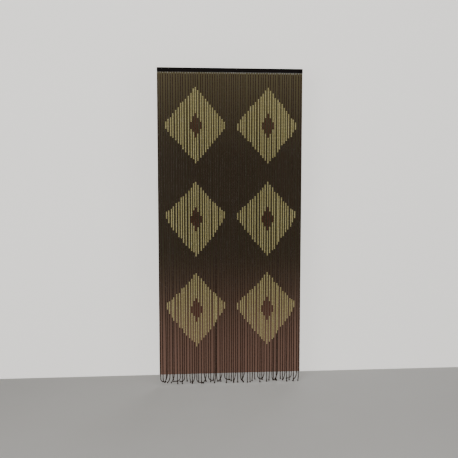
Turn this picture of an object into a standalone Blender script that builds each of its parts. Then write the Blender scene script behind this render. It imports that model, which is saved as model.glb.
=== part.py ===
"""Beaded door curtain on its wooden rail, in metres with +Z up.

The origin is the middle of the rail's top face. The rail runs along X, the
curtain hangs down from it, and its front faces -Y.
"""

import math
import random
from typing import NamedTuple

import bmesh
import bpy
import numpy as np
from mathutils import Vector

MM = 0.001
GAP = 0.3 * MM

# Rail: a plain wooden batten
RAIL_LENGTH = 900 * MM
RAIL_DEPTH = 18 * MM
RAIL_HEIGHT = 25 * MM
RAIL_ROUNDING = 1.5 * MM
RAIL_ROUNDING_STEPS = 2

# Heading: the narrow strip that stands for the row of eyes under the rail
HEADING_HEIGHT = 3 * MM
HEADING_DEPTH = 4 * MM
HEADING_OVERHANG = 5 * MM

# Strands
STRAND_COUNT = 60
STRAND_PITCH = RAIL_LENGTH / STRAND_COUNT
NECK_RADIUS = 1.6 * MM
NECK_BOTTOM = RAIL_HEIGHT + 12.5 * MM
BEAD_PITCH = 8.8 * MM
BEAD_RADIUS = 3.5 * MM
BEADS_PER_STRAND = 219
END_BEAD_LENGTH = 10 * MM
END_BEAD_RADIUS = 5 * MM
SHOULDER = 1 * MM  # length over which a strand steps from one width to the next

# Eyes: an even row, as far as it was set out by hand. At some strands, mm to the right of even
EYE_DRIFT = {0: 0, 3: -2, 15: 4, 27: 1, 33: -6, 45: 5, 57: -2, 59: 0}
EYE_SCATTER = 2.5 * MM
EYE_SEED = 1680

# How the plumb strands differ from one another
DRAPE_SEED = 1260
SIDE_SWAY = 1.6 * MM
FRONT_SWAY = 1.6 * MM
MID_BOW = 1.0 * MM
PLUMB_TURN = 8
PLUMB_BEND = 32 * MM

# Points along a strand
STRAIGHT_STEPS = 5
TAIL_STEP = 12 * MM


class Tail(NamedTuple):
    """How the lower end of one strand hangs. Sideways is positive to the right."""

    side: float
    front: float
    turn: float
    bend: float
    run: float
    beads: int


# Strand: sideways shift mm, shift to the front mm, turn in degrees, length of the bend mm,
# straight length after the bend mm, beads more or fewer
MARKED_TAILS = {
    0: Tail(1, 17, 100, 36, 0, 1),
    1: Tail(0, -3, 4, 40, 0, -1),
    2: Tail(7, -11, -4, 60, 0, -2),
    3: Tail(0, 6, -25, 80, 0, 0),
    4: Tail(0, 13, -40, 36, 0, 0),
    5: Tail(2, -4, 8, 40, 0, -2),
    6: Tail(-3, 8, -35, 50, 0, 0),
    8: Tail(0, 19, -88, 34, 14, 2),
    10: Tail(0, 12, -95, 32, 0, 1),
    12: Tail(1, 3, 9, 40, 0, 0),
    13: Tail(0, -4, -3, 40, 0, 0),
    14: Tail(0, 8, -30, 50, 0, 1),
    15: Tail(0, 20, 85, 34, 10, 3),
    18: Tail(3, -3, 20, 60, 0, 0),
    19: Tail(-2, 9, -35, 50, 0, 1),
    20: Tail(0, 15, 80, 30, 6, 1),
    22: Tail(7, -9, -10, 40, 0, -1),
    23: Tail(2, 3, -14, 50, 0, 1),
    24: Tail(-6, -6, 12, 40, 0, 0),
    25: Tail(0, -1, 10, 40, 0, 0),
    26: Tail(-2, 11, -35, 60, 0, 0),
    27: Tail(0, 16, 85, 30, 8, 1),
    32: Tail(0, 12, -22, 60, 0, 0),
    34: Tail(0, 13, 45, 40, 0, 1),
    36: Tail(0, -11, -35, 45, 0, 0),
    37: Tail(0, 1, 2, 40, 0, 1),
    41: Tail(0, 14, 80, 30, 6, 1),
    44: Tail(0, -12, -35, 36, 0, 0),
    47: Tail(0, 16, 88, 32, 4, 2),
    50: Tail(-1, -12, -28, 50, 0, 0),
    53: Tail(0, 13, -30, 44, 0, 0),
    56: Tail(0, 14, -86, 32, 6, 1),
    58: Tail(0, 12, -45, 40, 0, 0),
}


def clear_scene():
    """Removes what the startup scene holds."""
    for obj in list(bpy.data.objects):
        bpy.data.objects.remove(obj)


def new_collection(name):
    """A new collection under the scene's own."""
    collection = bpy.data.collections.new(name)
    bpy.context.scene.collection.children.link(collection)
    return collection


def new_material(name, color, roughness, metallic=0.0):
    """A plain Principled BSDF material."""
    material = bpy.data.materials.new(name)
    material.use_nodes = True
    shader = material.node_tree.nodes["Principled BSDF"]
    shader.inputs["Base Color"].default_value = (*color, 1)
    shader.inputs["Roughness"].default_value = roughness
    shader.inputs["Metallic"].default_value = metallic
    return material


def box(name, size, center, collection):
    """A box of the given size, with its scale applied, about the given centre."""
    mesh = bpy.data.meshes.new(name)
    shape = bmesh.new()
    bmesh.ops.create_cube(shape, size=1)
    bmesh.ops.scale(shape, vec=Vector(size), verts=shape.verts)
    shape.to_mesh(mesh)
    shape.free()
    obj = bpy.data.objects.new(name, mesh)
    obj.location = center
    collection.objects.link(obj)
    return obj


def tail_of(strand):
    """The hang of one strand: its marked one, or a nearly plumb one of its own draw."""
    if strand in MARKED_TAILS:
        return MARKED_TAILS[strand]
    draw = random.Random(DRAPE_SEED + strand)
    return Tail(
        side=draw.uniform(-SIDE_SWAY, SIDE_SWAY) / MM,
        front=draw.uniform(-FRONT_SWAY, FRONT_SWAY) / MM,
        turn=draw.uniform(-PLUMB_TURN, PLUMB_TURN),
        bend=PLUMB_BEND / MM,
        run=0,
        beads=draw.choice((-1, 0, 0, 1)),
    )


def eye_place(strand):
    """Where along the rail the eye of one strand is."""
    even = (strand - (STRAND_COUNT - 1) / 2) * STRAND_PITCH
    drift = float(np.interp(strand, list(EYE_DRIFT), list(EYE_DRIFT.values()))) * MM
    return even + drift + random.Random(EYE_SEED + strand).uniform(-EYE_SCATTER, EYE_SCATTER)


def strand_length(strand):
    """The length of one strand's beads, without its end bead."""
    return (BEADS_PER_STRAND + tail_of(strand).beads) * BEAD_PITCH


def strand_point(strand, along):
    """The point of one strand's centre line at a length below its first bead."""
    tail = tail_of(strand)
    length = strand_length(strand)
    bend, turn = tail.bend * MM, math.radians(tail.turn)
    bend_start = length - bend - tail.run * MM
    fall = min(max(along / length, 0), 1)
    ease = fall * fall * (3 - 2 * fall)
    bow = MID_BOW * math.sin(2 * math.pi * fall + strand)
    x = eye_place(strand) + tail.side * MM * ease + bow * fall
    y = -tail.front * MM * ease * fall
    z = -NECK_BOTTOM - min(along, bend_start)
    turned = min(max(along - bend_start, 0), bend)
    radius = bend / turn
    x += radius * (1 - math.cos(turned / radius))
    z -= abs(radius) * math.sin(turned / abs(radius))
    straight = max(along - bend_start - bend, 0)
    return Vector((x + straight * math.sin(turn), y, z - straight * math.cos(turn)))


def strand_stations(strand):
    """Lengths along one strand and the radius at each, from its neck to its end bead."""
    tail = tail_of(strand)
    length = strand_length(strand)
    tail_length = (tail.bend + tail.run) * MM
    straight = length - tail_length
    steps = max(2, round(tail_length / TAIL_STEP))
    stations = [(straight * i / STRAIGHT_STEPS, BEAD_RADIUS) for i in range(STRAIGHT_STEPS)]
    stations += [(straight + tail_length * i / steps, BEAD_RADIUS) for i in range(steps + 1)]
    stations += [
        (length + SHOULDER, END_BEAD_RADIUS),
        (length + END_BEAD_LENGTH - SHOULDER, END_BEAD_RADIUS),
        (length + END_BEAD_LENGTH, BEAD_RADIUS),
    ]
    return stations


def strand_curves(collection):
    """One curve object that holds every strand as a spline of four sides."""
    curve = bpy.data.curves.new("strand_lines", "CURVE")
    curve.dimensions = "3D"
    curve.bevel_depth = BEAD_RADIUS
    curve.bevel_resolution = 0
    curve.use_fill_caps = True
    root_z = -RAIL_HEIGHT - GAP - HEADING_HEIGHT / 2
    for strand in range(STRAND_COUNT):
        top = strand_point(strand, 0)
        points = [
            (Vector((top.x, top.y, root_z)), NECK_RADIUS),
            (top + Vector((0, 0, SHOULDER)), NECK_RADIUS),
        ]
        points += [(strand_point(strand, along), radius) for along, radius in strand_stations(strand)]
        spline = curve.splines.new("POLY")
        spline.points.add(len(points) - 1)
        for target, (place, radius) in zip(spline.points, points):
            target.co = (*place, 1)
            target.radius = radius / BEAD_RADIUS
    obj = bpy.data.objects.new("strand_lines", curve)
    collection.objects.link(obj)
    return obj


def mesh_from_curve(curve_object, name, collection):
    """A closed mesh object from a bevelled curve, which is removed."""
    graph = bpy.context.evaluated_depsgraph_get()
    mesh = bpy.data.meshes.new_from_object(curve_object.evaluated_get(graph))
    shape = bmesh.new()
    shape.from_mesh(mesh)
    bmesh.ops.remove_doubles(shape, verts=shape.verts, dist=0.01 * MM)
    bmesh.ops.recalc_face_normals(shape, faces=shape.faces)
    shape.to_mesh(mesh)
    shape.free()
    obj = bpy.data.objects.new(name, mesh)
    obj.matrix_world = curve_object.matrix_world
    collection.objects.link(obj)
    bpy.data.objects.remove(curve_object)
    return obj


def make_rail(collection):
    """The wooden batten, with its edges slightly rounded."""
    size = (RAIL_LENGTH, RAIL_DEPTH, RAIL_HEIGHT)
    rail = box("rail", size, (0, 0, -RAIL_HEIGHT / 2), collection)
    rounding = rail.modifiers.new("rounded_edges", "BEVEL")
    rounding.width = RAIL_ROUNDING
    rounding.segments = RAIL_ROUNDING_STEPS
    rail.data.materials.append(new_material("dark_stained_batten", (0.005, 0.002, 0.002), 0.55))
    return rail


def make_strands(collection, helpers):
    """The heading with every strand fused into it at its root."""
    strands = mesh_from_curve(strand_curves(collection), "strands", collection)
    width = (STRAND_COUNT - 1) * STRAND_PITCH + 2 * HEADING_OVERHANG
    center = (0, 0, -RAIL_HEIGHT - GAP - HEADING_HEIGHT / 2)
    heading = box("heading", (width, HEADING_DEPTH, HEADING_HEIGHT), center, helpers)
    heading.hide_render = True
    heading.display_type = "WIRE"
    union = strands.modifiers.new("roots_in_heading", "BOOLEAN")
    union.operation = "UNION"
    union.solver = "EXACT"
    union.object = heading
    strands.data.materials.append(new_material("wooden_beads", (0.036, 0.018, 0.010), 0.5))
    return strands


def main():
    clear_scene()
    parts = new_collection("beaded_door_curtain")
    helpers = new_collection("helpers")
    make_rail(parts)
    make_strands(parts, helpers)


main()
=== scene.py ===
"""Beaded door curtain: the looks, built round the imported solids. Metres, +Z up.

The origin is the middle of the rail's top face. The rail runs along X, the
curtain hangs down along -Z from it, and its front faces -Y. Sixty strings of
small wooden beads hang from screw eyes under the rail: dark ones for the
ground, natural ones for the diamonds and red-brown ones in their middles.
"""

import logging
import math
import random
from collections.abc import Callable, Iterator
from dataclasses import dataclass, field
from enum import Enum
from typing import Any

import bpy
import numpy as np
from mathutils import Matrix, Vector


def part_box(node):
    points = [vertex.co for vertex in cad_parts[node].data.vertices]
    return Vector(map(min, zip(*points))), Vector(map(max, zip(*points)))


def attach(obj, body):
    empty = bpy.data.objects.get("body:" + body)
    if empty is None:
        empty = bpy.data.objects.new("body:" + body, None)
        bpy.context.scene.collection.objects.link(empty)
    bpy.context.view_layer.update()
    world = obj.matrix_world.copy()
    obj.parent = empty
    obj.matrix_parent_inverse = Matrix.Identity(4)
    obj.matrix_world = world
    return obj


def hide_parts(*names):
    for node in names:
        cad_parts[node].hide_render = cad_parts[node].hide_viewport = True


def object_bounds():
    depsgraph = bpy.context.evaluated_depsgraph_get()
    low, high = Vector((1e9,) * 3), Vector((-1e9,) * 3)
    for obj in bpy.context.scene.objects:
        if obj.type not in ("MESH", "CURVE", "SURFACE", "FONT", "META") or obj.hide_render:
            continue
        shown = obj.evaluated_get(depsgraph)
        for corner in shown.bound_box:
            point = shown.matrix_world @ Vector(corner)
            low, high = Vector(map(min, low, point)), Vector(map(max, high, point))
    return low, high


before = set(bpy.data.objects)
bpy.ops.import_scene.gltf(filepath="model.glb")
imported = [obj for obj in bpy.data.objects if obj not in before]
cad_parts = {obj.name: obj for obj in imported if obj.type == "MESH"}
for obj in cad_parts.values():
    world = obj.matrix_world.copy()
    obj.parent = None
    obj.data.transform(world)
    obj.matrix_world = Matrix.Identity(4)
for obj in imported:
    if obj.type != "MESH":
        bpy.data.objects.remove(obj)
CAD_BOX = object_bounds()
RAIL_LOW, RAIL_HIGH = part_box("rail")

LOG = logging.getLogger("bead_curtain")
MM = 0.001

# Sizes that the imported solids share
RAIL_HEIGHT = RAIL_HIGH.z - RAIL_LOW.z
STRAND_COUNT = 60
STRAND_PITCH = (RAIL_HIGH.x - RAIL_LOW.x) / STRAND_COUNT
FIRST_BEAD_TOP = RAIL_HEIGHT + 12.5 * MM
HITCH_KNOT_Z = -(RAIL_HEIGHT + 10.2 * MM)
BEAD_PITCH = 8.8 * MM
BEADS_PER_STRAND = 219
END_BEAD_LENGTH = 10 * MM

# The Mix node's setting for colours, and the numbers of its sockets then
COLOURS = {"data_type": "RGBA"}
SHARE, FIRST, SECOND, MIXED = 0, 6, 7, 2

# The wave texture's wavelength at a scale of 1
WAVE_LENGTH = math.tau / 20

# Least part of a face's unit normal along an axis for the face to count as facing along it
NEARLY_ALONG = 0.9


class Slot(Enum):
    """The material slots, by name."""

    RAIL = "rail_wood"
    DARK = "dark_beads"
    NATURAL = "natural_beads"
    RED = "red_beads"
    METAL = "eye_metal"
    CORD = "cord"


class Wood(Enum):
    """The woods of the beads, as the pieces' names say them."""

    DARK = "dark"
    NATURAL = "natural"
    RED = "red"


def linear(colour: str) -> tuple[float, float, float, float]:
    """Turns an sRGB hex colour to linear.

    Args:
        colour: six hex digits after a #.

    Returns:
        Linear red, green, blue and an alpha of 1.
    """
    parts = [int(colour[i : i + 2], 16) / 255 for i in (1, 3, 5)]
    red, green, blue = (c / 12.92 if c <= 0.04045 else ((c + 0.055) / 1.055) ** 2.4 for c in parts)
    return red, green, blue, 1.0


def add_node(
    tree: bpy.types.NodeTree,
    kind: str,
    settings: dict[str, Any] | None = None,
    inputs: dict[str | int, Any] | None = None,
) -> bpy.types.Node:
    """Adds a shader node with its settings and links.

    Args:
        tree: the node tree that takes it.
        kind: the node's type name.
        settings: attributes of the node.
        inputs: for each input, a socket to link or a value to set.

    Returns:
        The new node.
    """
    node = tree.nodes.new(kind)
    for name, value in (settings or {}).items():
        setattr(node, name, value)
    for key, value in (inputs or {}).items():
        if isinstance(value, bpy.types.NodeSocket):
            tree.links.new(value, node.inputs[key])
        else:
            node.inputs[key].default_value = value
    return node


def new_material(name: str, **sockets: Any) -> tuple[bpy.types.Material, bpy.types.Node]:
    """Makes a material with a Principled BSDF.

    Args:
        name: the finish's name.
        **sockets: values for the shader's own sockets, with _ for a space.

    Returns:
        The material and its shader node.
    """
    material = bpy.data.materials.new(name)
    material.use_nodes = True
    shader = material.node_tree.nodes["Principled BSDF"]
    for key, value in sockets.items():
        shader.inputs[key.replace("_", " ")].default_value = value
    return material, shader


@dataclass(frozen=True)
class TurnedBeadWood:
    """Small hardwood beads, turned, drilled and tumbled.

    Each bead reads its own coordinates, so its grain runs along the string, and a tone of
    its own, so neighbours differ as turned wood does. Its ends are darker, partly as end grain
    is and partly as painted shade round the drilled mouths, where neighbouring beads meet.
    """

    name: str
    deep: str
    plain: str
    pale: str
    # Colour of the bead's ends: end grain, darkened further as painted shade round the drilled
    # mouths
    end_grain_and_shade: str
    roughness: float
    gloss: float
    grain_width: float = 0.7 * MM
    grain_length: float = 6 * MM
    grain_spread: float = 37.0
    vein_start: float = 0.35
    vein_end: float = 0.7
    # Heights from the bead's middle over which its ends darken: end grain and painted shade
    end_grain_and_shade_start: float = 3.2 * MM
    end_grain_and_shade_end: float = 4.3 * MM
    relief: float = 0.1 * MM
    relief_strength: float = 0.25

    def material(self) -> bpy.types.Material:
        """Builds the finish.

        Returns:
            The material, for meshes that hold each bead's own place and tone.
        """
        material, shader = new_material(
            self.name, Roughness=self.roughness, IOR=1.5, Specular_IOR_Level=self.gloss
        )
        tree = material.node_tree
        own = add_node(tree, "ShaderNodeAttribute", {"attribute_name": "own_place"})
        tone = add_node(tree, "ShaderNodeAttribute", {"attribute_name": "tone"})
        stretch = (1 / self.grain_width, 1 / self.grain_width, 1 / self.grain_length)
        along = add_node(
            tree,
            "ShaderNodeMapping",
            inputs={"Vector": own.outputs["Vector"], "Scale": stretch},
        )
        shifted = add_node(
            tree,
            "ShaderNodeMath",
            {"operation": "MULTIPLY"},
            {0: tone.outputs["Fac"], 1: self.grain_spread},
        )
        grain = add_node(
            tree,
            "ShaderNodeTexNoise",
            {"noise_dimensions": "4D"},
            {
                "Vector": along.outputs["Vector"],
                "W": shifted.outputs["Value"],
                "Scale": 1.0,
                "Detail": 3.0,
                "Roughness": 0.6,
            },
        )
        streak = add_node(
            tree,
            "ShaderNodeMapRange",
            inputs={
                "Value": grain.outputs["Fac"],
                "From Min": self.vein_start,
                "From Max": self.vein_end,
            },
        )
        body = add_node(
            tree,
            "ShaderNodeMix",
            COLOURS,
            {SHARE: tone.outputs["Fac"], FIRST: linear(self.plain), SECOND: linear(self.pale)},
        )
        veined = add_node(
            tree,
            "ShaderNodeMix",
            COLOURS,
            {
                SHARE: streak.outputs["Result"],
                FIRST: body.outputs[MIXED],
                SECOND: linear(self.deep),
            },
        )
        place = add_node(tree, "ShaderNodeSeparateXYZ", inputs={"Vector": own.outputs["Vector"]})
        height = add_node(
            tree, "ShaderNodeMath", {"operation": "ABSOLUTE"}, {0: place.outputs["Z"]}
        )
        # Darker towards the mouths: end grain, and painted shade at the drill hole where the next
        # bead meets it
        end_grain_and_shade = add_node(
            tree,
            "ShaderNodeMapRange",
            inputs={
                "Value": height.outputs["Value"],
                "From Min": self.end_grain_and_shade_start,
                "From Max": self.end_grain_and_shade_end,
            },
        )
        colour = add_node(
            tree,
            "ShaderNodeMix",
            COLOURS,
            {
                SHARE: end_grain_and_shade.outputs["Result"],
                FIRST: veined.outputs[MIXED],
                SECOND: linear(self.end_grain_and_shade),
            },
        )
        tree.links.new(colour.outputs[MIXED], shader.inputs["Base Color"])
        bump = add_node(
            tree,
            "ShaderNodeBump",
            inputs={
                "Height": grain.outputs["Fac"],
                "Strength": self.relief_strength,
                "Distance": self.relief,
            },
        )
        tree.links.new(bump.outputs["Normal"], shader.inputs["Normal"])
        return material


@dataclass(frozen=True)
class StainedBatten:
    """Planed softwood with a near-black brown stain: a satin face with open grain along it."""

    name: str = "black_brown_stained_pine"
    dark: str = "#070403"
    light: str = "#140c09"
    roughness: float = 0.55
    smoother: float = 0.08
    rougher: float = 0.14
    gloss: float = 0.08
    grain_width: float = 1.6 * MM
    grain_length: float = 90 * MM
    streak_start: float = 0.4
    streak_end: float = 0.75
    relief: float = 0.3 * MM
    relief_strength: float = 0.35

    def material(self) -> bpy.types.Material:
        """Builds the finish.

        Returns:
            The material, with its grain along X.
        """
        material, shader = new_material(self.name, IOR=1.5, Specular_IOR_Level=self.gloss)
        tree = material.node_tree
        place = add_node(tree, "ShaderNodeTexCoord")
        stretch = (1 / self.grain_length, 1 / self.grain_width, 1 / self.grain_width)
        along = add_node(
            tree,
            "ShaderNodeMapping",
            inputs={"Vector": place.outputs["Object"], "Scale": stretch},
        )
        grain = add_node(
            tree,
            "ShaderNodeTexNoise",
            inputs={
                "Vector": along.outputs["Vector"],
                "Scale": 1.0,
                "Detail": 5.0,
                "Roughness": 0.65,
                "Distortion": 0.4,
            },
        )
        streak = add_node(
            tree,
            "ShaderNodeMapRange",
            inputs={
                "Value": grain.outputs["Fac"],
                "From Min": self.streak_start,
                "From Max": self.streak_end,
            },
        )
        colour = add_node(
            tree,
            "ShaderNodeMix",
            COLOURS,
            {
                SHARE: streak.outputs["Result"],
                FIRST: linear(self.dark),
                SECOND: linear(self.light),
            },
        )
        tree.links.new(colour.outputs[MIXED], shader.inputs["Base Color"])
        shine = add_node(
            tree,
            "ShaderNodeMapRange",
            inputs={
                "Value": grain.outputs["Fac"],
                "To Min": self.roughness - self.smoother,
                "To Max": self.roughness + self.rougher,
            },
        )
        tree.links.new(shine.outputs["Result"], shader.inputs["Roughness"])
        bump = add_node(
            tree,
            "ShaderNodeBump",
            inputs={
                "Height": grain.outputs["Fac"],
                "Strength": self.relief_strength,
                "Distance": self.relief,
            },
        )
        tree.links.new(bump.outputs["Normal"], shader.inputs["Normal"])
        return material


@dataclass(frozen=True)
class ZincWire:
    """Zinc-plated steel wire, bent cold: a light grey metal with a slightly uneven shine."""

    name: str = "zinc_plated_wire"
    colour: str = "#a8a8a2"
    spot_size: float = 1.2 * MM
    smoothest: float = 0.25
    roughest: float = 0.55

    def material(self) -> bpy.types.Material:
        """Builds the finish.

        Returns:
            The material, with spots of unlike shine.
        """
        material, shader = new_material(self.name, Base_Color=linear(self.colour), Metallic=1.0)
        tree = material.node_tree
        place = add_node(tree, "ShaderNodeTexCoord")
        spots = add_node(
            tree,
            "ShaderNodeTexNoise",
            inputs={"Vector": place.outputs["Object"], "Scale": 1 / self.spot_size},
        )
        shine = add_node(
            tree,
            "ShaderNodeMapRange",
            inputs={
                "Value": spots.outputs["Fac"],
                "To Min": self.smoothest,
                "To Max": self.roughest,
            },
        )
        tree.links.new(shine.outputs["Result"], shader.inputs["Roughness"])
        return material


@dataclass(frozen=True)
class TwistedString:
    """Dark twisted string: matt, its plies drawn as coarse as they show, as slanting rings of
    painted shade in the grooves between them.
    """

    name: str = "dark_twisted_string"
    dark: str = "#241810"
    light: str = "#4a3526"
    ply_spacing: float = 1.0 * MM

    def material(self) -> bpy.types.Material:
        """Builds the finish.

        Returns:
            The material, with its rings one above another along Z.
        """
        material, shader = new_material(self.name, Roughness=0.9)
        tree = material.node_tree
        place = add_node(tree, "ShaderNodeTexCoord")
        # The plies drawn as bands: painted shade in the grooves between them, painted light on their
        # crowns
        plies = add_node(
            tree,
            "ShaderNodeTexWave",
            {"bands_direction": "Z"},
            {
                "Vector": place.outputs["Object"],
                "Scale": WAVE_LENGTH / self.ply_spacing,
                "Distortion": 1.5,
                "Detail": 1.0,
            },
        )
        colour = add_node(
            tree,
            "ShaderNodeMix",
            COLOURS,
            {SHARE: plies.outputs["Fac"], FIRST: linear(self.dark), SECOND: linear(self.light)},
        )
        tree.links.new(colour.outputs[MIXED], shader.inputs["Base Color"])
        return material


@dataclass(frozen=True)
class FloorPaper:
    """Plain matt studio paper for the floor, with the faintest mottle."""

    name: str = "pale_floor_paper"
    colour: str = "#dcd9d4"
    mottle: str = "#d6d3cd"
    mottle_size: float = 400 * MM

    def material(self) -> bpy.types.Material:
        """Builds the finish.

        Returns:
            The material.
        """
        material, shader = new_material(self.name, Roughness=0.95)
        tree = material.node_tree
        place = add_node(tree, "ShaderNodeTexCoord")
        cloud = add_node(
            tree,
            "ShaderNodeTexNoise",
            inputs={"Vector": place.outputs["Object"], "Scale": 1 / self.mottle_size},
        )
        colour = add_node(
            tree,
            "ShaderNodeMix",
            COLOURS,
            {SHARE: cloud.outputs["Fac"], FIRST: linear(self.colour), SECOND: linear(self.mottle)},
        )
        tree.links.new(colour.outputs[MIXED], shader.inputs["Base Color"])
        return material


@dataclass(frozen=True)
class BackdropPaper:
    """Pale matt studio paper that glows in its own colours, a painted backlight, with a stretch of
    painted shade behind the curtain.

    The painted shade is darkest behind the curtain's middle, lighter towards the top, and lightest
    at the floor, where a pool of light is painted. Its tones turn into each other between the
    heights given. From behind, the paper can be seen through, so that it hides nothing there.
    """

    shade_middle: float
    shade_half_width: float
    shade_height: float
    name: str = "backdrop_paper_with_painted_shade"
    pale: str = "#dedcd8"
    # Tones of the painted shade: lighter towards the top, darkest at mid height, and a painted pool
    # of light at the floor
    top: str = "#423b27"
    middle: str = "#211c0f"
    low: str = "#564036"
    # Emission in the paper's own colours, a painted backlight: the paper is no lamp
    painted_glow: float = 0.9
    top_end: float = 0.2
    middle_start: float = -0.6
    middle_end: float = -1.1
    low_start: float = -1.95

    def material(self) -> bpy.types.Material:
        """Builds the finish.

        Returns:
            The material, which glows in its own colours.
        """
        material, shader = new_material(self.name, Roughness=0.95, Emission_Strength=self.painted_glow)
        tree = material.node_tree
        place = add_node(tree, "ShaderNodeTexCoord")
        spot = add_node(tree, "ShaderNodeSeparateXYZ", inputs={"Vector": place.outputs["Object"]})
        # Painted shade by height, from its darkest tone at mid height to the lighter top and the
        # painted light at the floor
        tones = linear(self.middle)
        for start, end, tone in (
            (self.middle_start, self.top_end, self.top),
            (self.middle_end, self.low_start, self.low),
        ):
            share = add_node(
                tree,
                "ShaderNodeMapRange",
                {"interpolation_type": "SMOOTHSTEP"},
                {"Value": spot.outputs["Z"], "From Min": start, "From Max": end},
            )
            turned = add_node(
                tree,
                "ShaderNodeMix",
                COLOURS,
                {SHARE: share.outputs["Result"], FIRST: tones, SECOND: linear(tone)},
            )
            tones = turned.outputs[MIXED]
        # The painted shade fills only the stretch that the camera sees behind the curtain, below the
        # rail's middle height
        across = add_node(
            tree,
            "ShaderNodeMath",
            {"operation": "COMPARE"},
            {0: spot.outputs["X"], 1: self.shade_middle, 2: self.shade_half_width},
        )
        under = add_node(
            tree,
            "ShaderNodeMath",
            {"operation": "LESS_THAN"},
            {0: spot.outputs["Z"], 1: self.shade_height},
        )
        dark = add_node(
            tree,
            "ShaderNodeMath",
            {"operation": "MULTIPLY"},
            {0: across.outputs["Value"], 1: under.outputs["Value"]},
        )
        colour = add_node(
            tree,
            "ShaderNodeMix",
            COLOURS,
            {SHARE: dark.outputs["Value"], FIRST: linear(self.pale), SECOND: tones},
        )
        tree.links.new(colour.outputs[MIXED], shader.inputs["Base Color"])
        # Painted backlight: the paper glows in its own colours
        tree.links.new(colour.outputs[MIXED], shader.inputs["Emission Color"])
        side = add_node(tree, "ShaderNodeNewGeometry")
        clear = add_node(tree, "ShaderNodeBsdfTransparent")
        either = add_node(
            tree,
            "ShaderNodeMixShader",
            inputs={
                0: side.outputs["Backfacing"],
                1: shader.outputs["BSDF"],
                2: clear.outputs["BSDF"],
            },
        )
        tree.links.new(either.outputs["Shader"], tree.nodes["Material Output"].inputs["Surface"])
        return material


def deselect() -> None:
    """Deselects every object, so that an operator acts on the new one alone."""
    for obj in bpy.context.selected_objects:
        obj.select_set(False)


def make_active(obj: bpy.types.Object) -> None:
    """Selects one object alone and makes it active.

    Args:
        obj: the object.
    """
    deselect()
    obj.select_set(True)
    bpy.context.view_layer.objects.active = obj


def settle(obj: bpy.types.Object, name: str) -> bpy.types.Object:
    """Names a new object and applies its place, turn and size to its mesh.

    Args:
        obj: the new object.
        name: its name, which its mesh takes too.

    Returns:
        The same object.
    """
    obj.name = name
    obj.data.name = name
    make_active(obj)
    bpy.ops.object.transform_apply(location=True, rotation=True, scale=True)
    return obj


def select_faces(obj: bpy.types.Object, wanted: Callable[[bpy.types.MeshPolygon], bool]) -> None:
    """Selects the faces that a test picks, and leaves the object in edit mode.

    Args:
        obj: the mesh object, in object mode.
        wanted: the test, which is True for a face to select.
    """
    make_active(obj)
    bpy.ops.object.mode_set(mode="EDIT")
    bpy.ops.mesh.select_mode(type="FACE")
    bpy.ops.mesh.select_all(action="DESELECT")
    bpy.ops.object.mode_set(mode="OBJECT")
    for polygon in obj.data.polygons:
        polygon.select = bool(wanted(polygon))
    bpy.ops.object.mode_set(mode="EDIT")


def join_shapes(first: bpy.types.Object, second: bpy.types.Object) -> bpy.types.Object:
    """Takes a second closed shape into a first one's mesh.

    Args:
        first: the object that stays.
        second: the object that goes into it.

    Returns:
        The first object.
    """
    make_active(first)
    second.select_set(True)
    bpy.ops.object.join()
    return first


def knot_shape(name: str, radius: float, string_radius: float) -> bpy.types.Object:
    """Makes an overhand knot drawn tight, as a closed tube along a trefoil.

    Args:
        name: the object's name.
        radius: half the knot's width.
        string_radius: half the string's width.

    Returns:
        A mesh object about the origin.
    """
    steps = 24
    curve = bpy.data.curves.new(name, "CURVE")
    curve.dimensions = "3D"
    curve.bevel_depth = string_radius
    curve.bevel_resolution = 0
    spline = curve.splines.new("POLY")
    spline.points.add(steps - 1)
    spline.use_cyclic_u = True
    for i, point in enumerate(spline.points):
        t = math.tau * i / steps
        x = math.sin(t) + 2 * math.sin(2 * t)
        y = math.cos(t) - 2 * math.cos(2 * t)
        point.co = (radius * x / 3, radius * y / 3, -radius * math.sin(3 * t) / 2, 1)
    obj = bpy.data.objects.new(name, curve)
    bpy.context.scene.collection.objects.link(obj)
    make_active(obj)
    bpy.ops.object.convert(target="MESH")
    return bpy.context.view_layer.objects.active


def joined_copies(
    name: str,
    template: bpy.types.Object,
    places: np.ndarray,
    frames: np.ndarray,
    tones: np.ndarray,
) -> bpy.types.Object:
    """Joins many copies of one shape in one mesh.

    Args:
        name: the new object's name.
        template: the shape to copy, about the origin.
        places: where each copy goes, one row each.
        frames: a turning and scaling matrix for each copy.
        tones: a number from 0 to 1 for each copy, kept as the attribute tone.

    Returns:
        The joined object, with each point's place in its own copy as the attribute own_place.
    """
    shape = template.data
    local = np.empty(len(shape.vertices) * 3)
    shape.vertices.foreach_get("co", local)
    local = local.reshape(-1, 3)
    corners = np.empty(len(shape.loops), np.int32)
    shape.loops.foreach_get("vertex_index", corners)
    starts = np.empty(len(shape.polygons), np.int32)
    shape.polygons.foreach_get("loop_start", starts)
    order = np.arange(len(places))[:, None]
    mesh = bpy.data.meshes.new(name)
    mesh.vertices.add(order.size * len(local))
    points = np.einsum("nij,vj->nvi", frames, local) + places[:, None]
    mesh.vertices.foreach_set("co", points.ravel())
    mesh.loops.add(order.size * corners.size)
    mesh.loops.foreach_set("vertex_index", (corners + len(local) * order).astype(np.int32).ravel())
    mesh.polygons.add(order.size * starts.size)
    mesh.polygons.foreach_set("loop_start", (starts + corners.size * order).astype(np.int32).ravel())
    mesh.update(calc_edges=True)
    own = mesh.attributes.new("own_place", "FLOAT_VECTOR", "POINT")
    own.data.foreach_set("vector", np.tile(local, (order.size, 1)).ravel())
    tone = mesh.attributes.new("tone", "FLOAT", "POINT")
    tone.data.foreach_set("value", np.repeat(tones, len(local)))
    obj = bpy.data.objects.new(name, mesh)
    bpy.context.scene.collection.objects.link(obj)
    return obj


def smooth(obj: bpy.types.Object, angle: float) -> None:
    """Shades an object smooth but for edges sharper than an angle in degrees."""
    make_active(obj)
    bpy.ops.object.shade_smooth_by_angle(angle=math.radians(angle))


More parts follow.
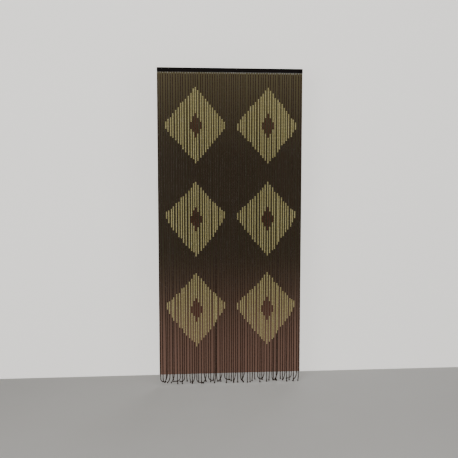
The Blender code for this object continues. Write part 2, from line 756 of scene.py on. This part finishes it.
def triangles(obj: bpy.types.Object) -> int:
    """Counts an object's triangles."""
    obj.data.calc_loop_triangles()
    return len(obj.data.loop_triangles)


def place_piece(
    obj: bpy.types.Object, material: bpy.types.Material, slot: Slot, replaced: tuple[str, ...] = ()
) -> None:
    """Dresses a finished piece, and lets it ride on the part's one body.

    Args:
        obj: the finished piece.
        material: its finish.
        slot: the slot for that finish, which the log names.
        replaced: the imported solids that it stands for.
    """
    obj.data.materials.clear()
    obj.data.materials.append(material)
    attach(obj, "root")
    if replaced:
        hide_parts(*replaced)
    LOG.info("%s: %d triangles, slot %s", obj.name, triangles(obj), slot.value)


@dataclass(frozen=True)
class Tail:
    """How the lower end of one strand hangs. Sideways is positive to the right."""

    side: float
    front: float
    turn: float
    bend: float
    run: float
    beads: int


# Eyes: an even row, as far as it was set out by hand. At some strands, mm to the right of even
EYE_DRIFT = {0: 0, 3: -2, 15: 4, 27: 1, 33: -6, 45: 5, 57: -2, 59: 0}

# Strand: sideways shift mm, shift to the front mm, turn in degrees, length of the bend mm,
# straight length after the bend mm, beads more or fewer
MARKED_TAILS = {
    0: Tail(1, 17, 100, 36, 0, 1),
    1: Tail(0, -3, 4, 40, 0, -1),
    2: Tail(7, -11, -4, 60, 0, -2),
    3: Tail(0, 6, -25, 80, 0, 0),
    4: Tail(0, 13, -40, 36, 0, 0),
    5: Tail(2, -4, 8, 40, 0, -2),
    6: Tail(-3, 8, -35, 50, 0, 0),
    8: Tail(0, 19, -88, 34, 14, 2),
    10: Tail(0, 12, -95, 32, 0, 1),
    12: Tail(1, 3, 9, 40, 0, 0),
    13: Tail(0, -4, -3, 40, 0, 0),
    14: Tail(0, 8, -30, 50, 0, 1),
    15: Tail(0, 20, 85, 34, 10, 3),
    18: Tail(3, -3, 20, 60, 0, 0),
    19: Tail(-2, 9, -35, 50, 0, 1),
    20: Tail(0, 15, 80, 30, 6, 1),
    22: Tail(7, -9, -10, 40, 0, -1),
    23: Tail(2, 3, -14, 50, 0, 1),
    24: Tail(-6, -6, 12, 40, 0, 0),
    25: Tail(0, -1, 10, 40, 0, 0),
    26: Tail(-2, 11, -35, 60, 0, 0),
    27: Tail(0, 16, 85, 30, 8, 1),
    32: Tail(0, 12, -22, 60, 0, 0),
    34: Tail(0, 13, 45, 40, 0, 1),
    36: Tail(0, -11, -35, 45, 0, 0),
    37: Tail(0, 1, 2, 40, 0, 1),
    41: Tail(0, 14, 80, 30, 6, 1),
    44: Tail(0, -12, -35, 36, 0, 0),
    47: Tail(0, 16, 88, 32, 4, 2),
    50: Tail(-1, -12, -28, 50, 0, 0),
    53: Tail(0, 13, -30, 44, 0, 0),
    56: Tail(0, 14, -86, 32, 6, 1),
    58: Tail(0, 12, -45, 40, 0, 0),
}


@dataclass(frozen=True)
class StrandLine:
    """The centre line of one hanging strand, the same as its solid's.

    Where no tail is marked, its sways and bend are in mm and its turn is in degrees, as a
    tail's are.
    """

    strand: int
    seed: int = 1260
    eye_seed: int = 1680
    eye_scatter: float = 2.5 * MM
    side_sway: float = 1.6
    front_sway: float = 1.6
    mid_bow: float = 1.0 * MM
    plumb_turn: float = 8
    plumb_bend: float = 32

    @property
    def tail(self) -> Tail:
        """The strand's marked tail, or a nearly plumb one of its own draw."""
        if self.strand in MARKED_TAILS:
            return MARKED_TAILS[self.strand]
        draw = random.Random(self.seed + self.strand)
        return Tail(
            side=draw.uniform(-self.side_sway, self.side_sway),
            front=draw.uniform(-self.front_sway, self.front_sway),
            turn=draw.uniform(-self.plumb_turn, self.plumb_turn),
            bend=self.plumb_bend,
            run=0,
            beads=draw.choice((-1, 0, 0, 1)),
        )

    @property
    def beads(self) -> int:
        """How many beads are on the strand, without its end bead."""
        return BEADS_PER_STRAND + self.tail.beads

    @property
    def root_x(self) -> float:
        """Where along the rail the strand's eye is."""
        even = (self.strand - (STRAND_COUNT - 1) / 2) * STRAND_PITCH
        drift = float(np.interp(self.strand, list(EYE_DRIFT), list(EYE_DRIFT.values()))) * MM
        draw = random.Random(self.eye_seed + self.strand)
        return even + drift + draw.uniform(-self.eye_scatter, self.eye_scatter)

    def points(self, along: np.ndarray) -> np.ndarray:
        """Finds points of the line.

        Args:
            along: lengths below the top of the first bead.

        Returns:
            One row for each length.
        """
        tail = self.tail
        length = self.beads * BEAD_PITCH
        bend, turn = tail.bend * MM, math.radians(tail.turn)
        bend_start = length - bend - tail.run * MM
        fall = np.clip(along / length, 0, 1)
        ease = fall * fall * (3 - 2 * fall)
        bow = self.mid_bow * np.sin(2 * math.pi * fall + self.strand)
        x = self.root_x + tail.side * MM * ease + bow * fall
        y = -tail.front * MM * ease * fall
        z = -FIRST_BEAD_TOP - np.minimum(along, bend_start)
        turned = np.clip(along - bend_start, 0, bend)
        radius = bend / turn
        x = x + radius * (1 - np.cos(turned / radius))
        z = z - abs(radius) * np.sin(turned / abs(radius))
        straight = np.maximum(along - bend_start - bend, 0)
        return np.stack([x + straight * math.sin(turn), y, z - straight * math.cos(turn)], axis=1)

    def directions(self, along: np.ndarray) -> np.ndarray:
        """Finds which way is up the line.

        Args:
            along: lengths below the top of the first bead.

        Returns:
            A unit vector for each length.
        """
        step = 0.5 * MM
        up = self.points(along - step) - self.points(along + step)
        return up / np.linalg.norm(up, axis=1, keepdims=True)


@dataclass(frozen=True)
class Diamond:
    """One natural diamond, with the red-brown lozenge in its middle.

    Each reach is in beads above and below the middle one. It falls by a step for every
    strand further out. On the outer half of the strands the pattern may sit higher, by a
    bead for every so many strands.
    """

    middle_strand: int
    middle_bead: int
    strands_per_rise: int = 0
    strands_out: int = 12
    reach: int = 26
    step: int = 2
    lozenge_strands_out: int = 2
    lozenge_reach: int = 8
    lozenge_step: int = 3

    def wood(self, strand: int, bead: int) -> Wood | None:
        """Finds the wood of one bead.

        Args:
            strand: the strand, from 0 at the left.
            bead: the bead, from 0 at the top.

        Returns:
            Its wood, or None for a bead outside the diamond.
        """
        out = abs(strand - self.middle_strand)
        outer = max(0, out - self.strands_out // 2)
        rise = outer // self.strands_per_rise if self.strands_per_rise else 0
        off = abs(bead + rise - self.middle_bead)
        if out <= self.lozenge_strands_out and off <= self.lozenge_reach - self.lozenge_step * out:
            return Wood.RED
        if out <= self.strands_out and off <= self.reach - self.step * out:
            return Wood.NATURAL
        return None


@dataclass
class Rail:
    """The wooden batten that everything hangs from. Its own solid stays."""

    node: str = "rail"
    finish: StainedBatten = field(default_factory=StainedBatten)

    def build(self) -> None:
        """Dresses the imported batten."""
        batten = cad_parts[self.node]
        batten.data.materials.clear()
        batten.data.materials.append(self.finish.material())
        LOG.info("%s: dressed", self.node)


@dataclass
class Eyes:
    """The screw eyes under the rail, and the hitch of string in each. Angles are in degrees."""

    ring_radius: float = 2.7 * MM
    wire_radius: float = 0.6 * MM
    shank_shown: float = 2.0 * MM
    shank_hidden: float = 5 * MM
    point_length: float = 1.2 * MM
    point_width: float = 0.15
    loop_width: float = 2.5 * MM
    string_radius: float = 0.42 * MM
    knot_radius: float = 1.3 * MM
    twist: float = 35
    smooth_angle: float = 40
    seed: int = 7
    wire: ZincWire = field(default_factory=ZincWire)
    string: TwistedString = field(default_factory=TwistedString)

    @property
    def ring_z(self) -> float:
        """Height of the rings' middles."""
        return -RAIL_HEIGHT - self.shank_shown - self.ring_radius - self.wire_radius

    def eye(self) -> bpy.types.Object:
        """Models one eye: a ring of wire with its pointed shank.

        Returns:
            A mesh object about the ring's middle.
        """
        deselect()
        bpy.ops.mesh.primitive_torus_add(
            major_radius=self.ring_radius,
            minor_radius=self.wire_radius,
            major_segments=16,
            minor_segments=6,
            rotation=(math.pi / 2, 0, 0),
        )
        ring = settle(bpy.context.active_object, "eye_ring")
        length = self.shank_shown + self.shank_hidden + self.wire_radius
        bottom = self.ring_radius
        deselect()
        bpy.ops.mesh.primitive_cylinder_add(
            vertices=8,
            radius=self.wire_radius,
            depth=length,
            location=(0, 0, bottom + length / 2),
        )
        shank = settle(bpy.context.active_object, "eye_shank")
        select_faces(shank, lambda polygon: polygon.normal.z > NEARLY_ALONG)
        bpy.ops.mesh.extrude_region_move(TRANSFORM_OT_translate={"value": (0, 0, self.point_length)})
        bpy.ops.transform.resize(value=(self.point_width, self.point_width, 1))
        bpy.ops.object.mode_set(mode="OBJECT")
        return join_shapes(ring, shank)

    def hitch(self) -> bpy.types.Object:
        """Models one hitch: a loop over the ring's wire and its knot.

        Returns:
            A mesh object about the ring's middle.
        """
        top = -self.ring_radius + self.wire_radius + self.string_radius
        bottom = HITCH_KNOT_Z - self.ring_z
        deselect()
        bpy.ops.mesh.primitive_torus_add(
            major_radius=(top - bottom) / 2,
            minor_radius=self.string_radius,
            major_segments=12,
            minor_segments=6,
            location=(0, 0, (top + bottom) / 2),
            rotation=(0, math.pi / 2, 0),
        )
        loop = bpy.context.active_object
        loop.scale = (1, self.loop_width / (top - bottom), 1)
        settle(loop, "hitch_loop")
        knot = knot_shape("hitch_knot", self.knot_radius, self.string_radius)
        knot.location = (0, 0, bottom)
        settle(knot, "hitch_knot")
        return join_shapes(loop, knot)

    def build(self) -> None:
        """Builds the row of eyes and the row of hitches."""
        draw = np.random.default_rng(self.seed)
        lines = [StrandLine(strand) for strand in range(STRAND_COUNT)]
        places = np.array([(line.root_x, 0, self.ring_z) for line in lines])
        angles = np.radians(draw.uniform(-self.twist, self.twist, STRAND_COUNT))
        frames = np.array([Matrix.Rotation(angle, 3, "Z") for angle in angles])
        tones = draw.random(STRAND_COUNT)
        for name, template, finish, slot in (
            ("screw_eyes", self.eye(), self.wire, Slot.METAL),
            ("string_hitches", self.hitch(), self.string, Slot.CORD),
        ):
            row = joined_copies(name, template, places, frames, tones)
            bpy.data.objects.remove(template)
            smooth(row, self.smooth_angle)
            place_piece(row, finish.material(), slot)


@dataclass
class BeadedStrands:
    """The sixty strings of beads, with their end beads and the string inside them.

    Angles are in degrees. A few strands, drawn at random, have the pattern a bead too high
    or too low.
    """

    bead_radius: float = 3.5 * MM
    bead_length: float = 8.5 * MM
    shoulder_radius: float = 3.2 * MM
    shoulder_height: float = 2.4 * MM
    mouth_radius: float = 1.9 * MM
    bead_sides: int = 7
    bead_smooth_angle: float = 54
    end_bead_radius: float = 5.0 * MM
    end_mouth_height: float = 4.5 * MM
    end_mouth_rim: float = 0.3 * MM
    end_mouth_depth: float = 1.0 * MM
    end_knot_radius: float = 1.5 * MM
    end_smooth_angle: float = 50
    string_radius: float = 0.5 * MM
    string_smooth_angle: float = 80
    plumb_step: float = 4 * BEAD_PITCH
    tail_step: float = BEAD_PITCH / 2
    drop: float = 1.5 * MM
    wrong_row: float = 0.12
    size_spread: float = 0.035
    tilt: float = 2.0
    groups: int = 4
    seed: int = 23
    diamonds: tuple[Diamond, ...] = tuple(
        Diamond(middle_strand, middle_bead, strands_per_rise)
        for middle_bead, strands_per_rise in ((35, 0), (101, 2), (166, 2))
        for middle_strand in (15, 45)
    )
    stained: TurnedBeadWood = TurnedBeadWood(
        "dark_stained_bead_wood", "#1d110c", "#35241a", "#463226", "#130b08", 0.5, 0.1
    )
    natural: TurnedBeadWood = TurnedBeadWood(
        "natural_bead_wood", "#928449", "#b6ac71", "#cac28f", "#6b6038", 0.5, 0.35
    )
    red: TurnedBeadWood = TurnedBeadWood(
        "red_stained_bead_wood", "#2f140d", "#4e281b", "#613726", "#220f0a", 0.5, 0.1
    )
    string: TwistedString = field(default_factory=TwistedString)

    def bead(self) -> bpy.types.Object:
        """Models one barrel bead, which is strung along Z and has flat mouths.

        Returns:
            A mesh object about the bead's middle.
        """
        deselect()
        bpy.ops.mesh.primitive_cylinder_add(
            vertices=self.bead_sides, radius=self.shoulder_radius, depth=2 * self.shoulder_height
        )
        bead = settle(bpy.context.active_object, "bead")
        select_faces(bead, lambda polygon: True)
        bpy.ops.mesh.bisect(plane_co=(0, 0, 0), plane_no=(0, 0, 1))
        belly = self.bead_radius / self.shoulder_radius
        bpy.ops.transform.resize(value=(belly, belly, 1))
        bpy.ops.object.mode_set(mode="OBJECT")
        rise = self.bead_length / 2 - self.shoulder_height
        mouth = self.mouth_radius / self.shoulder_radius
        for way in (1, -1):
            select_faces(bead, lambda polygon, way=way: polygon.normal.z * way > NEARLY_ALONG)
            bpy.ops.mesh.extrude_region_move(TRANSFORM_OT_translate={"value": (0, 0, way * rise)})
            bpy.ops.transform.resize(value=(mouth, mouth, 1))
            bpy.ops.object.mode_set(mode="OBJECT")
        return bead

    def end_bead(self) -> bpy.types.Object:
        """Models one round end bead with its drilled mouths.

        Returns:
            A mesh object about the bead's middle.
        """
        deselect()
        bpy.ops.mesh.primitive_uv_sphere_add(segments=14, ring_count=10, radius=self.end_bead_radius)
        bead = settle(bpy.context.active_object, "end_bead")
        for way in (1, -1):
            select_faces(
                bead, lambda polygon, way=way: polygon.center.z * way > self.end_mouth_height
            )
            bpy.ops.mesh.dissolve_faces()
            bpy.ops.mesh.inset(thickness=self.end_mouth_rim)
            bpy.ops.transform.translate(value=(0, 0, -way * self.end_mouth_depth))
            bpy.ops.object.mode_set(mode="OBJECT")
        return bead

    def strands(self) -> Iterator[tuple[StrandLine, float, int]]:
        """Goes through the strands from the left.

        Yields:
            Each strand's line, how far it hangs low, and its pattern's error in beads.
        """
        draw = random.Random(self.seed)
        for strand in range(STRAND_COUNT):
            low = draw.uniform(-self.drop, self.drop)
            error = draw.choice((-1, 1)) if draw.random() < self.wrong_row else 0
            yield StrandLine(strand), low, error

    def frames(self, up: np.ndarray, draw: np.random.Generator) -> np.ndarray:
        """Turns and sizes each bead: its length along the strand, rolled and tilted at random.

        Args:
            up: the strand's direction at each bead.
            draw: the source of the random numbers.

        Returns:
            One 3 by 3 matrix for each bead.
        """
        count = len(up)
        leaning = up + draw.normal(0, math.sin(math.radians(self.tilt)) / 2, (count, 3))
        leaning /= np.linalg.norm(leaning, axis=1, keepdims=True)
        roll = draw.uniform(0, 2 * math.pi, count)
        side = np.stack([np.cos(roll), np.sin(roll), np.zeros(count)], axis=1)
        across = np.cross(leaning, side)
        across /= np.linalg.norm(across, axis=1, keepdims=True)
        other = np.cross(across, leaning)
        width = 1 + draw.normal(0, self.size_spread, count)
        return np.stack([other * width[:, None], across * width[:, None], leaning], axis=2)

    def wood(self, strand: int, bead: int) -> Wood:
        """Finds the wood of one bead: its diamond's, or else the ground's."""
        woods = (diamond.wood(strand, bead) for diamond in self.diamonds)
        return next((wood for wood in woods if wood), Wood.DARK)

    def build_beads(self) -> None:
        """Strings the barrel beads, and joins them by wood and by group of strands."""
        draw = np.random.default_rng(self.seed)
        template = self.bead()
        rows = {wood: [[] for _ in range(self.groups)] for wood in Wood}
        for line, low, error in self.strands():
            order = np.arange(line.beads)
            along = (order + 0.5) * BEAD_PITCH
            places = line.points(along) - np.array([0, 0, low])
            frames = self.frames(line.directions(along), draw)
            tones = draw.beta(2, 2, len(order))
            woods = np.array([self.wood(line.strand, i + error) for i in order])
            group = line.strand * self.groups // STRAND_COUNT
            for wood, by_group in rows.items():
                chosen = woods == wood
                by_group[group].append((places[chosen], frames[chosen], tones[chosen]))
        for wood, finish, slot in (
            (Wood.DARK, self.stained, Slot.DARK),
            (Wood.NATURAL, self.natural, Slot.NATURAL),
            (Wood.RED, self.red, Slot.RED),
        ):
            material = finish.material()
            for group, parts in enumerate(rows[wood], 1):
                places, frames, tones = (np.concatenate(column) for column in zip(*parts))
                name = f"{wood.value}_beads_{group}"
                piece = joined_copies(name, template, places, frames, tones)
                smooth(piece, self.bead_smooth_angle)
                place_piece(piece, material, slot, ("strands",))
        bpy.data.objects.remove(template)

    def build_ends(self) -> None:
        """Hangs the round end beads with the knot under each."""
        draw = np.random.default_rng(self.seed + 1)
        places, ups, knots = [], [], []
        for line, low, _ in self.strands():
            length = line.beads * BEAD_PITCH
            along = np.array([length + END_BEAD_LENGTH / 2, length + END_BEAD_LENGTH])
            middle, under = line.points(along) - np.array([0, 0, low])
            places.append(middle)
            knots.append(under)
            ups.append(line.directions(along[:1])[0])
        frames = self.frames(np.array(ups), draw)
        tones = draw.random(STRAND_COUNT)
        knot = knot_shape("end_knot", self.end_knot_radius, self.string_radius)
        for name, template, at, finish, slot in (
            ("end_beads", self.end_bead(), places, self.stained, Slot.DARK),
            ("end_knots", knot, knots, self.string, Slot.CORD),
        ):
            piece = joined_copies(name, template, np.array(at), frames, tones)
            bpy.data.objects.remove(template)
            smooth(piece, self.end_smooth_angle)
            place_piece(piece, finish.material(), slot, ("strands",))

    def build_strings(self) -> None:
        """Runs the string through the beads, from its hitch to its end knot."""
        curve = bpy.data.curves.new("strand_strings", "CURVE")
        curve.dimensions = "3D"
        curve.bevel_depth = self.string_radius
        curve.bevel_resolution = 0
        curve.use_fill_caps = True
        for line, low, _ in self.strands():
            length = line.beads * BEAD_PITCH
            curved = length - (line.tail.bend + line.tail.run) * MM
            along = np.concatenate(
                [
                    np.arange(0, curved, self.plumb_step),
                    np.arange(curved, length + END_BEAD_LENGTH, self.tail_step),
                ]
            )
            points = line.points(along) - np.array([0, 0, low])
            top = np.array([line.root_x, 0, HITCH_KNOT_Z])
            points = np.vstack([top, points[1:]])
            spline = curve.splines.new("POLY")
            spline.points.add(len(points) - 1)
            spline.points.foreach_set("co", np.hstack([points, np.ones((len(points), 1))]).ravel())
        obj = bpy.data.objects.new("strand_strings", curve)
        bpy.context.scene.collection.objects.link(obj)
        make_active(obj)
        bpy.ops.object.convert(target="MESH")
        strings = bpy.context.view_layer.objects.active
        smooth(strings, self.string_smooth_angle)
        place_piece(strings, self.string.material(), Slot.CORD, ("strands",))

    def build(self) -> None:
        """Builds all that hangs from the eyes."""
        self.build_beads()
        self.build_ends()
        self.build_strings()


@dataclass
class Studio:
    """A plain floor, soft light and a backdrop that shows from the front alone, with painted shade
    and glow.
    """

    view: Vector
    floor_gap: float = 4 * MM
    floor_size: float = 9.0
    backdrop_distance: float = 0.22
    floor_paper: FloorPaper = field(default_factory=FloorPaper)
    ambient: float = 0.1

    def behind(self, x: float, z: float) -> Vector:
        """Finds where the camera sees a point of the curtain on the backdrop.

        Args:
            x: the point's place along the rail.
            z: the point's height.

        Returns:
            The place on the backdrop.
        """
        reach = (self.backdrop_distance - self.view.y) / -self.view.y
        return self.view + (Vector((x, 0, z)) - self.view) * reach

    def backdrop_paper(self) -> BackdropPaper:
        """Finds the backdrop's finish.

        Returns:
            The paper whose stretch of painted shade fills the camera's view behind the curtain.
        """
        left = self.behind(RAIL_LOW.x, 0).x
        right = self.behind(RAIL_HIGH.x, 0).x
        height = self.behind(0, (RAIL_LOW.z + RAIL_HIGH.z) / 2).z
        return BackdropPaper((left + right) / 2, (right - left) / 2, height)

    def build(self) -> None:
        """Builds the floor, the backdrop and the lights."""
        floor_z = CAD_BOX[0].z - self.floor_gap
        deselect()
        bpy.ops.mesh.primitive_plane_add(size=self.floor_size, location=(0, 0, floor_z))
        floor = settle(bpy.context.active_object, "studio_floor")
        floor.data.materials.append(self.floor_paper.material())
        deselect()
        bpy.ops.mesh.primitive_plane_add(
            size=self.floor_size,
            location=(0, self.backdrop_distance, floor_z + self.floor_size / 2),
            rotation=(math.pi / 2, 0, 0),
        )
        backdrop = settle(bpy.context.active_object, "studio_backdrop")
        backdrop.data.materials.append(self.backdrop_paper().material())
        backdrop.visible_diffuse = False
        backdrop.visible_glossy = False
        backdrop.visible_shadow = False
        self.lights()

    def lights(self) -> None:
        """Hangs four soft lights and sets an even ambient light."""
        middle = (CAD_BOX[0] + CAD_BOX[1]) / 2
        for name, offset, size, power in (
            ("key", Vector((-3.8, -5.9, 1.1)), 3.5, 250),
            ("fill", Vector((4.7, -5.3, 0.6)), 4.0, 125),
            ("top", Vector((0.2, -2.4, 3.4)), 3.0, 60),
            ("back", Vector((1.4, 3.4, 0.4)), 2.4, 80),
        ):
            lamp = bpy.data.lights.new(name, "AREA")
            lamp.size = size
            lamp.energy = power
            holder = bpy.data.objects.new(name, lamp)
            holder.location = middle + offset
            holder.rotation_euler = (-offset).to_track_quat("-Z", "Y").to_euler()
            bpy.context.scene.collection.objects.link(holder)
        world = bpy.data.worlds.new("studio_world")
        world.use_nodes = True
        sky = world.node_tree.nodes["Background"]
        sky.inputs["Color"].default_value = linear("#ffffff")
        sky.inputs["Strength"].default_value = self.ambient
        bpy.context.scene.world = world


@dataclass
class PhotoView:
    """The camera, at the photograph's distance, height and angles in degrees."""

    aim: Vector = field(default_factory=lambda: Vector((-8 * MM, 0, -0.992)))
    distance: float = 4.008
    pitch: float = 4.96
    turn: float = 4.78
    lens: float = 50.15

    def build(self) -> Vector:
        """Makes the scene's camera.

        Returns:
            The camera's place.
        """
        camera = bpy.data.cameras.new("photo_view")
        camera.lens = self.lens
        holder = bpy.data.objects.new("photo_view", camera)
        holder.rotation_euler = (math.radians(90 - self.pitch), 0, math.radians(-self.turn))
        back = holder.rotation_euler.to_matrix() @ Vector((0, 0, 1))
        holder.location = self.aim + back * self.distance
        bpy.context.scene.collection.objects.link(holder)
        bpy.context.scene.camera = holder
        return holder.location.copy()


def main() -> None:
    """Builds the camera, the pieces in order from the top, and the studio."""
    logging.basicConfig(level=logging.INFO, format="%(message)s")
    view = PhotoView().build()
    Rail().build()
    Eyes().build()
    BeadedStrands().build()
    Studio(view).build()


if __name__ == "__main__":
    main()
